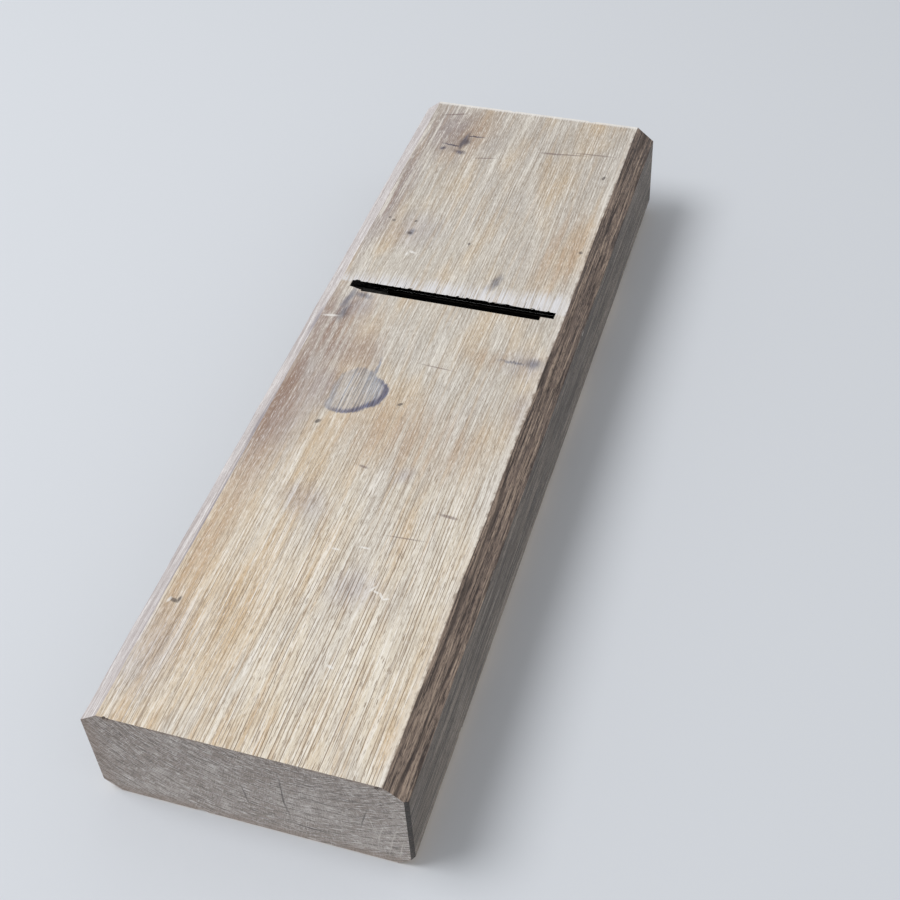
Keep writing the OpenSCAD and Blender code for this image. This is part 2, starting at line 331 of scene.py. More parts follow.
sole_oak = new_finish("planed oak sole", 0.62)
place, patches, bands, streaks, fibres, lines = oak_grain(sole_oak)
along = axes_of(sole_oak, place)
near = ramp(sole_oak, along["Y"], -0.112, 0.012, 1.0, 0.0)
ruled = ramp(sole_oak, along["X"], 0.020, -0.004)
tan = times(sole_oak, ramp(sole_oak, bands, 0.50, 0.68), ramp(sole_oak, near, 0, 1, 0.25, 0.55))
browner = times(sole_oak, sum_of(sole_oak, "SUBTRACT", 1.0, ruled), near)
browner = times(sole_oak, browner, ramp(sole_oak, patches, 0.30, 0.55, 0.0, 0.42))
ragged = nudged(sole_oak, place, mottle(sole_oak, place, 0.0030, 3.0, 0.6), streaks, 0.0030)
handled = spots(sole_oak, ragged, BROWN_PATCHES)
dull = times(sole_oak, spots(sole_oak, ragged, DULL_PATCHES), ramp(sole_oak, bands, 0.30, 0.60, 0.65, 1.0))
spared = ramp(sole_oak, handled, 0, 0.8, 1.0, 0.35)
clear = times(sole_oak, spared, ramp(sole_oak, near, 0, 1, 0.68, 1.0))
fine = times(sole_oak, lines, ramp(sole_oak, near, 0, 1, 0.38, 0.80))
fine = times(sole_oak, fine, ramp(sole_oak, ruled, 0, 1, 0.55, 1.0))
colour = laid_over(sole_oak, near, shade(200, 193, 182), shade(227, 217, 199))
colour = painted(sole_oak, colour, (
    (ramp(sole_oak, along["Y"], 0.045, 0.125, 0.0, 0.6), (178, 170, 161)),
    (ramp(sole_oak, patches, 0.48, 0.66, 0.0, 0.50), (210, 187, 154)),
    (ramp(sole_oak, patches, 0.50, 0.34, 0.0, 0.45), (195, 191, 186)),
    (tan, (206, 176, 136)),
    (browner, (199, 171, 134)),
    (times(sole_oak, handled, ramp(sole_oak, bands, 0.35, 0.60, 0.15, 0.6)), (184, 156, 130)),
    (dull, (208, 199, 206), "MULTIPLY"),
    (times(sole_oak, spared, ramp(sole_oak, bands, 0.47, 0.34, 0.0, 0.5)), (238, 233, 223)),
    (times(sole_oak, clear, ramp(sole_oak, streaks, 0.53, 0.65, 0.0, 0.70)), (247, 242, 234)),
    (times(sole_oak, clear, ramp(sole_oak, streaks, 0.46, 0.34, 0.0, 0.62)), (152, 133, 115)),
    (ramp(sole_oak, fibres, 0.54, 0.68, 0.0, 0.50), (250, 246, 239)),
    (ramp(sole_oak, fibres, 0.46, 0.32, 0.0, 0.50), (139, 121, 104)),
    (fine, (130, 105, 82)),
))

# The fibres that the plane iron has torn up behind the mouth, and the stain before it
torn_from = axes_of(sole_oak, ragged)["Y"]
torn_from = sum_of(sole_oak, "ADD", torn_from, times(sole_oak, along["X"], 0.07))
torn_from = sum_of(sole_oak, "SUBTRACT", torn_from, times(sole_oak, streaks, 0.014))
torn = ramp(sole_oak, torn_from, 0.0265, 0.0335, 1.0, 0.0)
torn = times(sole_oak, torn, ramp(sole_oak, along["Y"], 0.0310, 0.0322))
torn = times(sole_oak, torn, ramp(sole_oak, streaks, 0.38, 0.58, 0.25, 0.88))
soaked = nudged(sole_oak, place, mottle(sole_oak, place, 0.0045, 2.0), streaks, 0.0022)
stain = spots(sole_oak, soaked, STAIN)
rim = sum_of(sole_oak, "SUBTRACT", 1.0, spots(sole_oak, soaked, STAIN_MIDDLE))
rim = times(sole_oak, stain, rim)
run = sum_of(sole_oak, "ADD", along["X"], times(sole_oak, along["Y"], 0.6))
rim = times(sole_oak, rim, ramp(sole_oak, run, 0.009, -0.001, 0.10, 0.95))
stain = times(sole_oak, stain, ramp(sole_oak, streaks, 0.62, 0.42, 0.40, 1.0))
stain = times(sole_oak, stain, ramp(sole_oak, along["X"], 0.0230, 0.0185, 0.30, 1.0))
rubbed = axes_of(sole_oak, ragged)["X"]
colour = painted(sole_oak, colour, (
    (torn, (226, 226, 230)),
    (times(sole_oak, spots(sole_oak, ragged, GREY_PATCHES), 0.6), (222, 222, 236), "MULTIPLY"),
    (times(sole_oak, spots(sole_oak, ragged, SMUDGES), 0.75), (140, 146, 170), "MULTIPLY"),
    (stain, (202, 214, 240), "MULTIPLY"),
    (rim, (152, 156, 188), "MULTIPLY"),
    (times(sole_oak, spots(sole_oak, soaked, INK_MARKS), 0.85), (104, 106, 138), "MULTIPLY"),
    (times(sole_oak, spots(sole_oak, place, FAINT_SCRATCHES), 0.65), (112, 92, 90)),
    (times(sole_oak, spots(sole_oak, place, DARK_DOTS), 0.75), (66, 58, 54)),
    (times(sole_oak, spots(sole_oak, place, WHITE_FLECKS), 0.6), (250, 249, 246)),
    (ramp(sole_oak, rubbed, -0.0325, -0.0345, 0.0, 0.40), (232, 226, 218)),
    (ramp(sole_oak, rubbed, -0.0347, -0.0355, 0.0, 0.65), (112, 90, 72)),
    # Painted highlight: a pale line along the far edge, where its worn rounding catches the light.
    (ramp(sole_oak, along["Y"], 0.1332, 0.1345, 0.0, 0.80), (240, 238, 235)),
))
height = sum_of(sole_oak, "SUBTRACT", fibres, times(sole_oak, lines, 0.5))
height = sum_of(sole_oak, "ADD", height, times(sole_oak, streaks, 0.5))
coat(sole_oak, colour, height, 0.00010, ramp(sole_oak, streaks, 0.3, 0.7, 0.70, 0.55))


def weathered(name, colours, roughness, relief, marks=(), blotches=1.0, faded=0.0):
    """Old oak that was never planed again: a body colour, a dark one in the grain and a pale one on it.

    Marks are dark spots, given as for the sole. Blotches is how patchy it is, and faded is how
    much paler it has gone towards the front end.
    """
    body, dark, light = colours
    finish = new_finish(name, roughness)
    place, patches, bands, streaks, fibres, lines = oak_grain(finish)
    along = axes_of(finish, place)["Y"]
    colour = painted(finish, shade(*body), (
        (ramp(finish, patches, 0.36, 0.66, 0.0, 0.4 * blotches), dark),
        (ramp(finish, bands, 0.50, 0.68, 0.0, 0.6 * blotches), light),
        (ramp(finish, bands, 0.48, 0.34, 0.0, 0.5 * blotches), dark),
        (ramp(finish, along, -0.135, -0.010, faded, 0.0), light),
        (ramp(finish, streaks, 0.49, 0.38, 0.0, 0.90), dark),
        (ramp(finish, streaks, 0.53, 0.64, 0.0, 0.80), light),
        (ramp(finish, fibres, 0.46, 0.32, 0.0, 0.8), dark),
        (ramp(finish, fibres, 0.56, 0.70, 0.0, 0.5), light),
        (times(finish, lines, 0.75), dark),
    ))
    if marks:
        rubbed = times(finish, spots(finish, place, marks), 0.55)
        colour = painted(finish, colour, ((rubbed, (112, 104, 116)),))
    height = sum_of(finish, "SUBTRACT", fibres, times(finish, lines, 0.5))
    height = sum_of(finish, "ADD", height, streaks)
    coat(finish, colour, height, relief, ramp(finish, bands, 0.3, 0.7, roughness - 0.08, roughness + 0.1))
    return finish


# Darker places along the right chamfer, given as on the sole
RIGHT_CHAMFER_MARKS = (
    (36.4, -60, 0.4, 55, 0.0, 0.5),
    (36.8, -33, 0.9, 8, 0.0, 0.9),
    (37, 12, 1, 6, 0.0, 0.9),
)
left_chamfer_oak = weathered("dark oak, left chamfer", ((128, 111, 101), (50, 39, 36), (190, 169, 151)), 0.58,
                             0.00015, (), 0.6, 0.28)
right_chamfer_oak = weathered("pale oak, right chamfer", ((210, 204, 204), (172, 162, 160), (238, 236, 235)),
                              0.60, 0.00012, RIGHT_CHAMFER_MARKS, 0.6)
side_oak = weathered("grey oak, sides", ((108, 99, 92), (54, 47, 43), (172, 162, 152)), 0.60, 0.00015,
                     (), 1.0, 0.25)
corner_oak = weathered("dark oak, front corner", ((58, 50, 46), (34, 29, 27), (92, 82, 75)), 0.60, 0.00012)
upper_oak = weathered("handled oak, upper face", ((164, 142, 114), (114, 94, 72), (192, 172, 144)), 0.52,
                      0.00012)
# The throat's finish, on every surface cut into the block, is near black: oil and dust, and painted shade for
# the dark inside of the mouth.
throat_oak = weathered("oiled oak with painted shade, throat", ((36, 31, 27), (20, 17, 15), (55, 47, 41)), 0.62, 0.00012)

# The end grain's rings and rays run round the heart of the tree, which lay above the sole
HEART = (-0.012, -0.038)
RAY_REACH = 0.055

end_oak = new_finish("sawn end grain", 0.72)
place = add(end_oak, "TexCoord").outputs["Object"]
uneven = mottle(end_oak, place, 0.010, 2.0)
parts = axes_of(end_oak, moved(end_oak, place, {"X": uneven, "Z": uneven}, 0.0020))
sideways = sum_of(end_oak, "SUBTRACT", parts["X"], HEART[0])
upwards = sum_of(end_oak, "SUBTRACT", parts["Z"], HEART[1])
turned = times(end_oak, sum_of(end_oak, "ARCTAN2", sideways, upwards), RAY_REACH)
square = sum_of(end_oak, "ADD", times(end_oak, sideways, sideways),
                times(end_oak, upwards, upwards))
outward = sum_of(end_oak, "POWER", square, 0.5)
round_heart = add(end_oak, "CombineXYZ", None, {"X": turned, "Y": outward}).outputs[0]
rings = {"Vector": round_heart, "Scale": 105.0, "Distortion": 1.4, "Detail": 2.0, "Detail Scale": 1.2}
rings = add(end_oak, "TexWave", {"bands_direction": "Y"}, rings).outputs["Fac"]
rays = mottle(end_oak, stretched(end_oak, round_heart, (1, 0.16, 1)), 0.00034, 3.0, 0.65)
vessels = mottle(end_oak, stretched(end_oak, round_heart, (0.12, 1, 1), (0.4, 0.2, 0)), 0.00036, 3.0, 0.65)
pores = mottle(end_oak, stretched(end_oak, place, (1, 0.2, 1)), 0.00034, 3.0, 0.65)
clouds = mottle(end_oak, place, 0.011, 2.0)
colour = painted(end_oak, shade(130, 119, 112), (
    (ramp(end_oak, clouds, 0.36, 0.64), (155, 147, 142)),
    (ramp(end_oak, rings, 0.14, 0.0, 0.0, 0.60), (82, 72, 69)),
    (ramp(end_oak, rays, 0.54, 0.66, 0.0, 0.55), (203, 199, 198)),
    (ramp(end_oak, rays, 0.47, 0.36, 0.0, 0.55), (82, 73, 69)),
    (ramp(end_oak, vessels, 0.47, 0.36, 0.0, 0.90), (76, 68, 66)),
    (ramp(end_oak, vessels, 0.54, 0.64, 0.0, 0.90), (208, 204, 204)),
    (ramp(end_oak, pores, 0.44, 0.34, 0.0, 0.50), (72, 64, 61)),
))

# Scratches and checks on the front end, each given as an oval across and up
END_MARKS = (
    (-8.2, 16.5, 0.22, 8.5, 0.03, 0.8),
    (2.2, 20.5, 0.2, 3.6, 0.16, 0.8),
    (-17.5, 15, 4.6, 0.2, -0.10, 0.8),
    (-16, 8.3, 4.2, 0.18, 0.20, 0.8),
    (-24.5, 10.5, 3.2, 0.18, 0.14, 0.8),
    (-15, 28.2, 6, 0.2, -0.04, 0.8),
    (-28.5, 17, 0.18, 3.6, -0.22, 0.8),
    (12, 9, 5, 0.14, -0.12, 0.8),
)
LIGHT_MARKS = (
    (-35, 25, 0.16, 6.2, -0.22, 0.8),
    (-32.2, 23, 0.14, 4.5, -0.25, 0.8),
    (-37.2, 27, 0.14, 4, -0.18, 0.8),
    (-30.5, 18.5, 0.14, 3.2, 0.30, 0.8),
)
upright = add(end_oak, "CombineXYZ", None, {"X": parts["X"], "Y": parts["Z"]}).outputs[0]
axes = axes_of(end_oak, place)
front = ramp(end_oak, axes["Y"], -0.13, -0.12, 1.0, 0.0)
scored = times(end_oak, spots(end_oak, upright, END_MARKS), front)
scraped = times(end_oak, spots(end_oak, upright, LIGHT_MARKS), front)
edges = ramp(end_oak, axes["Z"], 0.0016, 0.0003)
edges = sum_of(end_oak, "MAXIMUM", edges, ramp(end_oak, axes["X"], 0.034, 0.041))
edges = sum_of(end_oak, "MAXIMUM", edges, ramp(end_oak, axes["Z"], 0.0285, 0.0325))
edges = times(end_oak, edges, ramp(end_oak, clouds, 0.35, 0.60, 0.15, 0.55))
colour = painted(end_oak, colour, (
    (times(end_oak, scored, 0.85), (52, 45, 43)),
    (times(end_oak, scraped, 0.5), (200, 194, 190)),
    (edges, (104, 80, 62)),
))
height = sum_of(end_oak, "ADD", pores, sum_of(end_oak, "ADD", rays, vessels))
coat(end_oak, colour, height, 0.00020)

BLOCK_FINISHES = (sole_oak, left_chamfer_oak, right_chamfer_oak, side_oak, corner_oak, upper_oak,
                  throat_oak, end_oak)
SOLE, LEFT_CHAMFER, RIGHT_CHAMFER, SIDE, CORNER, UPPER, THROAT, END = range(len(BLOCK_FINISHES))


def to_object(name, mesh, finishes):
    """A finished bmesh as an object of its own, with its finishes."""
    data = bpy.data.meshes.new(name)
    mesh.to_mesh(data)
    mesh.free()
    for finish in finishes:
        data.materials.append(finish)
    piece = bpy.data.objects.new(name, data)
    bpy.context.collection.objects.link(piece)
    return piece


def with_modifier(piece, kind, settings):
    """Runs one modifier on a piece and keeps its result as the piece's mesh."""
    modifier = piece.modifiers.new(kind, kind)
    for name, value in settings.items():
        setattr(modifier, name, value)
    done = bpy.data.meshes.new_from_object(piece.evaluated_get(bpy.context.evaluated_depsgraph_get()))
    piece.modifiers.remove(modifier)
    piece.data = done


def chopped(piece, cutter, finishes):
    """Takes a cutter's shape out of a piece. The fresh surface has the cutter's own finish."""
    tool = to_object("cutter", cutter, finishes)
    with_modifier(piece, "BOOLEAN", {"operation": "DIFFERENCE", "solver": "MANIFOLD", "object": tool})
    bpy.data.objects.remove(tool)


def planed_off(wood, point, outwards, finish):
    """Planes wood off along a plane, on the side that it faces, and closes the fresh surface."""
    everything = wood.verts[:] + wood.edges[:] + wood.faces[:]
    cut = bmesh.ops.bisect_plane(wood, geom=everything, dist=1e-7, plane_co=point, plane_no=outwards,
                                 clear_outer=True)
    rim = [part for part in cut["geom_cut"] if isinstance(part, bmesh.types.BMEdge)]
    bmesh.ops.edgeloop_fill(wood, edges=rim, mat_nr=finish)


def across(points, half_width, finish):
    """A side view, given as its points along and up, carried across to half its width on each side."""
    solid = bmesh.new()
    face = solid.faces.new([solid.verts.new((-half_width, *point)) for point in points])
    grown = bmesh.ops.extrude_face_region(solid, geom=[face])["geom"]
    bmesh.ops.translate(solid, verts=[part for part in grown if isinstance(part, bmesh.types.BMVert)],
                        vec=(2 * half_width, 0, 0))
    bmesh.ops.recalc_face_normals(solid, faces=solid.faces[:])
    for face in solid.faces:
        face.material_index = finish
    return solid


blank = bmesh.new()
blank_size = Matrix.Diagonal((BLOCK_WIDTH, BLOCK_LENGTH, BLOCK_HEIGHT, 1))
bmesh.ops.create_cube(blank, size=1, matrix=Matrix.Translation((0, 0, BLOCK_HEIGHT / 2)) @ blank_size)
for face in blank.faces:
    if abs(face.normal.y) > 0.5:
        face.material_index = END
    elif abs(face.normal.x) > 0.5:
        face.material_index = SIDE
    else:
        face.material_index = SOLE if face.normal.z < 0 else UPPER
planed_off(blank, (-block_side, 0, LEFT_SOLE_CHAMFER[1]),
           Vector((-LEFT_SOLE_CHAMFER[1], 0, -LEFT_SOLE_CHAMFER[0])), LEFT_CHAMFER)
planed_off(blank, (block_side, 0, RIGHT_SOLE_CHAMFER[1]),
           Vector((RIGHT_SOLE_CHAMFER[1], 0, -RIGHT_SOLE_CHAMFER[0])), RIGHT_CHAMFER)
for side in (-1, 1):
    planed_off(blank, (side * block_side, 0, BLOCK_HEIGHT - UPPER_CHAMFER[1]),
               Vector((side * UPPER_CHAMFER[1], 0, UPPER_CHAMFER[0])), UPPER)
planed_off(blank, (0, block_end, BLOCK_HEIGHT - STRUCK_CHAMFER), Vector((0, 1, 1)), UPPER)
planed_off(blank, (-block_side, FRONT_CORNER_CHAMFER - block_end, 0), Vector((-1, -1, 0)), CORNER)
block = to_object("block_oak", blank, BLOCK_FINISHES)

IRON_WIDTH = 0.0644
IRON_FLARE = math.radians(0.9)
IRON_WEDGE = math.radians(3.4)
GROOVE_MOUTH = 0.0028
SIDE_PLAY = 0.0002
SLIDE_GAP = 0.00005

wall_start = Matrix.Rotation(-bed_angle, 2) @ Vector((-GROOVE_MOUTH, 0))
face_out = wall_start.y - SLIDE_GAP / math.cos(IRON_WEDGE)
edge_along = -face_out / math.tan(bed_angle)


def wall_out(along):
    """How far out of the bed the grooves' upper wall lies, at a distance along the bed."""
    return wall_start.y + (along - wall_start.x) * math.tan(IRON_WEDGE)


def iron_half_width(along):
    """Half the iron's width, at a distance from its edge. Its sides flare towards the head."""
    return IRON_WIDTH / 2 + along * math.tan(IRON_FLARE)


on_bed = Matrix.Translation((0, MOUTH_BACK, 0)) @ Matrix.Rotation(bed_angle, 4, "X")

low = wall_start.x - OVERCUT
high = (BLOCK_HEIGHT + OVERCUT) / math.sin(bed_angle)
slot = across([(low, 0), (high, 0), (high, wall_out(high)), (low, wall_out(low))], 1, THROAT)
for corner in slot.verts:
    corner.co.x *= iron_half_width(corner.co.y - edge_along) + SIDE_PLAY
bmesh.ops.transform(slot, matrix=on_bed, verts=slot.verts[:])
chopped(block, slot, BLOCK_FINISHES)

top = BLOCK_HEIGHT + OVERCUT
throat = across([(MOUTH_FRONT, -OVERCUT), (MOUTH_FRONT, THROAT_WALL),
                 (MOUTH_FRONT - (top - THROAT_WALL) / math.tan(THROAT_ANGLE), top),
                 (MOUTH_BACK + top / BED_SLOPE, top), (MOUTH_BACK - OVERCUT / BED_SLOPE, -OVERCUT)],
                CHEEK_GAP / 2, THROAT)
chopped(block, throat, BLOCK_FINISHES)

PIN_RADIUS = 0.0025
PIN_SIDES = 64
PIN_GAP = 0.00001
PIN_SEAT = 0.008
PIN_AT = Vector((0, 0.046677, 0.0235))

along_pin = Matrix.Rotation(math.pi / 2, 4, "Y")
hole_length = block_side + OVERCUT + CHEEK_GAP / 2 + PIN_SEAT
hole_at = PIN_AT + Vector((block_side + OVERCUT - hole_length / 2, 0, 0))
hole = bmesh.new()
bmesh.ops.create_cone(hole, cap_ends=True, segments=PIN_SIDES, radius1=PIN_RADIUS + PIN_GAP,
                      radius2=PIN_RADIUS + PIN_GAP, depth=hole_length,
                      matrix=Matrix.Translation(hole_at) @ along_pin)
for face in hole.faces:
    face.material_index = THROAT
chopped(block, hole, BLOCK_FINISHES)

EDGE_WEAR = 0.0004
END_WEAR = 0.0005
HANDLED_WEAR = 0.0016
MOUTH_WEAR = 0.0001
THROAT_WEAR = 0.0006
CHEEK_WEAR = 0.00025
SHARP = math.radians(20)
CREASE = SHARP * 1.7
DEAD_SQUARE = 0.99999

wood = bmesh.new()
wood.from_mesh(block.data)
bmesh.ops.remove_doubles(wood, verts=wood.verts[:], dist=1e-6)
bmesh.ops.dissolve_limit(wood, angle_limit=0.005, verts=wood.verts[:], edges=wood.edges[:],
                         delimit={"MATERIAL"})
worn = wood.edges.layers.float.new("bevel_weight_edge")
for edge in wood.edges:
    if len(edge.link_faces) != 2 or edge.calc_face_angle(0) < SHARP or not edge.is_convex:
        continue
    kinds = {face.material_index for face in edge.link_faces}
    runs = abs(edge.verts[0].co.y - edge.verts[1].co.y)
    if kinds <= {SIDE, UPPER} and runs > BLOCK_LENGTH / 2:
        edge[worn] = HANDLED_WEAR
    elif THROAT not in kinds:
        edge[worn] = END_WEAR if END in kinds else EDGE_WEAR
    elif SOLE in kinds:
        edge[worn] = MOUTH_WEAR
    elif UPPER in kinds:
        edge[worn] = THROAT_WEAR
    elif SIDE not in kinds:
        edge[worn] = CHEEK_WEAR
    edge[worn] /= HANDLED_WEAR
wood.to_mesh(block.data)
wood.free()
with_modifier(block, "BEVEL", {"limit_method": "WEIGHT", "width": HANDLED_WEAR, "segments": 3,
                               "use_clamp_overlap": True})

# Each long edge, as its place across and up, the way it has worn back, and how far at most
sole_side = block_side - RIGHT_SOLE_CHAMFER[0]
upper_level = BLOCK_HEIGHT - UPPER_CHAMFER[1]
upper_side = block_side - UPPER_CHAMFER[0]
LONG_EDGES = (
    (LEFT_SOLE_CHAMFER[0] - block_side, 0, (1, 0), 0.0003),
    (-block_side, LEFT_SOLE_CHAMFER[1], (0, 1), 0.0004),
    (sole_side, 0, (-1, 0), 0.0003),
    (block_side, RIGHT_SOLE_CHAMFER[1], (0, 1), 0.0004),
    (-block_side, upper_level, (0, -1), 0.0004),
    (block_side, upper_level, (0, -1), 0.0004),
    (-upper_side, BLOCK_HEIGHT, (1, 0), 0.0004),
    (upper_side, BLOCK_HEIGHT, (-1, 0), 0.0004),
)
SLICE = 0.003
HAMMER_COLUMNS = 5
HAMMER_ROWS = 3
HAMMER_STEP = 0.0135
HAMMER_DROP = 0.0075
HAMMER_TOP = 0.0235
EDGE_REACH = 0.0012
WANDER = 45

wood = bmesh.new()
wood.from_mesh(block.data)
for cut in range(1, round(BLOCK_LENGTH / SLICE)):
    everything = wood.verts[:] + wood.edges[:] + wood.faces[:]
    bmesh.ops.bisect_plane(wood, geom=everything, dist=1e-6, plane_co=(0, cut * SLICE - block_end, 0),
                           plane_no=(0, 1, 0))
# The struck end in one piece for each hammer mark, so that no face has several holes
cell_cuts = [(((column - HAMMER_COLUMNS / 2) * HAMMER_STEP, 0, 0), (1, 0, 0))
             for column in range(1, HAMMER_COLUMNS)]
cell_cuts += [((0, 0, HAMMER_TOP - (row - 0.5) * HAMMER_DROP), (0, 0, 1))
              for row in range(HAMMER_ROWS - 1, 0, -1)]
for cut_at, cut_way in cell_cuts:
    ends = [face for face in wood.faces if face.normal.y > DEAD_SQUARE]
    part = {*ends, *(edge for face in ends for edge in face.edges)}
    part |= {corner for face in ends for corner in face.verts}
    bmesh.ops.bisect_plane(wood, geom=list(part), dist=1e-6, plane_co=cut_at, plane_no=cut_way)
for number, (across_at, up_at, way, reach) in enumerate(LONG_EDGES):
    for corner in wood.verts:
        if math.hypot(corner.co.x - across_at, corner.co.z - up_at) < EDGE_REACH:
            back = reach * (0.5 + noise.fractal(Vector((corner.co.y * WANDER, number * 7.3, 0)), 0.8, 2.0, 4))
            corner.co.x += way[0] * min(max(back, 0), reach)
            corner.co.z += way[1] * min(max(back, 0), reach)
wood.to_mesh(block.data)
wood.free()


def jitter(number):
    """Three numbers between about -0.6 and 0.6 for the so-many-th mark, the same in every run."""
    return Vector([noise.noise(Vector((number * 1.37 + 0.41, axis * 5.3, 0.7))) for axis in range(3)])


def dent(cutter, centre, size, seed, smoothness=3, rough=0.35):
    """Adds an uneven lump to a cutter, which leaves a chip, a nick or a hammer mark where it bites."""
    lump = bmesh.ops.create_icosphere(cutter, subdivisions=smoothness, radius=1)["verts"]
    for corner in lump:
        swell = 1 + rough * noise.noise(corner.co * 1.6 + Vector((seed, 0, 0)))
        corner.co = Vector(centre) + Vector(size) * corner.co * swell


# Chips and dings along the edges, each as its place and its half size
CHIPS = (
    ((0.0338, -0.1352, 0.0004), (0.0011, 0.0006, 0.0007)),
    ((-0.0343, -0.1352, 0.0008), (0.0010, 0.0006, 0.0008)),
    ((0.0148, -0.1353, 0.0332), (0.0020, 0.0008, 0.0010)),
    ((-0.0190, 0.1353, 0.0004), (0.0014, 0.0010, 0.0009)),
    ((0.0090, 0.1352, 0.0003), (0.0009, 0.0008, 0.0006)),
    ((-0.0412, 0.0310, 0.0050), (0.0006, 0.0030, 0.0010)),
    ((-0.0412, -0.0660, 0.0049), (0.0005, 0.0022, 0.0008)),
    ((0.0412, -0.0250, 0.0300), (0.0006, 0.0035, 0.0010)),
    ((0.0412, 0.0870, 0.0305), (0.0007, 0.0028, 0.0012)),
    ((-0.0412, -0.0980, 0.0300), (0.0006, 0.0026, 0.0010)),
    ((0.0372, 0.0180, 0.0334), (0.0010, 0.0030, 0.0007)),
    ((-0.0376, 0.0960, 0.0334), (0.0012, 0.0024, 0.0008)),
    ((0.0120, 0.0752, 0.0333), (0.0014, 0.0011, 0.0007)),
    ((-0.0170, 0.0082, 0.0333), (0.0018, 0.0010, 0.0008)),
)
HAMMER_MARK = (0.0048, 0.00099, 0.0034)
HAMMER_STRAY = (0.004, 0.002, 0.0015)
HAMMER_OUT = 0.000585
NICKS = 19
NICK_SIZE = (0.0007, 0.0005, 0.0004)
SPLITS = ((0.0157, 0.0032), (0.0054, 0.0040), (-0.0112, 0.0022), (-0.0225, 0.0030), (0.0236, 0.0018),
          (-0.0030, 0.0016), (-0.0271, 0.0014))
SPLIT_WIDTH = 0.00013

chips = bmesh.new()
for number, (centre, size) in enumerate(CHIPS):
    dent(chips, centre, size, number * 3.7)
for number in range(HAMMER_ROWS * HAMMER_COLUMNS):
    row, column = divmod(number, HAMMER_COLUMNS)
    stray = jitter(number)
    mark_x = (column - (HAMMER_COLUMNS - 1) / 2) * HAMMER_STEP + stray.x * HAMMER_STRAY[0]
    mark_z = HAMMER_TOP - row * HAMMER_DROP + stray.z * HAMMER_STRAY[2]
    size = (HAMMER_MARK[0] + stray.y * HAMMER_STRAY[1], HAMMER_MARK[1], HAMMER_MARK[2])
    dent(chips, (mark_x, block_end + HAMMER_OUT, mark_z), size, number, 3, 0.12)
for face in chips.faces:
    face.material_index = END
for number in range(NICKS):
    stray = jitter(number + 20)
    nick_x = ((number + 0.5 + stray.x) / NICKS - 0.5) * IRON_WIDTH
    size = 0.35 + 1.3 * abs(stray.y)
    before = len(chips.faces)
    dent(chips, (nick_x, MOUTH_BACK, 0), [part * size for part in NICK_SIZE], number * 1.9, 2, 0.6)
    chips.faces.ensure_lookup_table()
    for face in chips.faces[before:]:
        face.material_index = THROAT
chopped(block, chips, BLOCK_FINISHES)

splits = bmesh.new()
onwards = Matrix.Rotation(-math.pi / 2, 4, "X")
deepened = Matrix.Diagonal((1, 4, 1, 1))
for split_x, reach in SPLITS:
    split_at = Matrix.Translation((split_x, MOUTH_BACK + reach / 2 - OVERCUT / 4, 0))
    bmesh.ops.create_cone(splits, cap_ends=True, segments=6, radius1=SPLIT_WIDTH, radius2=SPLIT_WIDTH / 5,
                          depth=reach + OVERCUT / 2, matrix=split_at @ onwards @ deepened)
for face in splits.faces:
    face.material_index = THROAT
chopped(block, splits, BLOCK_FINISHES)

# Left of the mouth the saw ran on a little past the cheek
SAW_SLIP = ((0.0283, 0.0280), (0.0294, 0.0324), (0.0302, 0.0324), (0.0302, 0.0280))
slip = across(SAW_SLIP, OVERCUT, THROAT)
bmesh.ops.transform(slip, matrix=Matrix.Rotation(math.pi / 2, 4, "Y"), verts=slip.verts[:])
chopped(block, slip, BLOCK_FINISHES)


def smoothed(piece, sharpest, sawn_square=False):
    """Shades a piece smooth between its sharp edges. The faces of square sawn wood are kept flat."""
    worked = bmesh.new()
    worked.from_mesh(piece.data)
    for face in worked.faces:
        face.smooth = not sawn_square or max(abs(part) for part in face.normal) < DEAD_SQUARE
    for edge in worked.edges:
        edge.smooth = edge.calc_face_angle(0) < sharpest
    worked.to_mesh(piece.data)
    worked.free()
    with_modifier(piece, "WEIGHTED_NORMAL", {"keep_sharp": True})


smoothed(block, CREASE, True)
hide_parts("block")
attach(block, "block")


# The cross pin. A length of drawn steel rod, cut off and driven in from the right cheek, its end
# left just below the side. It holds the chip breaker down on the iron.

PIN_END_WEAR = 0.0003
SOOT_AND_SHADE_LEVEL = 0.024


def worn_copy(name, node, finishes, wear, edge_finish, sort_face=None):
    """A CAD solid's mesh, its doubled corners merged, its faces given their finishes and its edges worn."""
    metal = bmesh.new()
    metal.from_mesh(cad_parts[node].data)
    bmesh.ops.remove_doubles(metal, verts=metal.verts[:], dist=1e-6)
    bmesh.ops.dissolve_limit(metal, angle_limit=0.004, verts=metal.verts[:], edges=metal.edges[:])
    for face in metal.faces:
        face.material_index = sort_face(face) if sort_face else 0
    piece = to_object(name, metal, finishes)
    with_modifier(piece, "BEVEL", {"limit_method": "ANGLE", "angle_limit": math.radians(25), "width": wear,
                                   "segments": 2, "use_clamp_overlap": True, "material": edge_finish})
    return piece


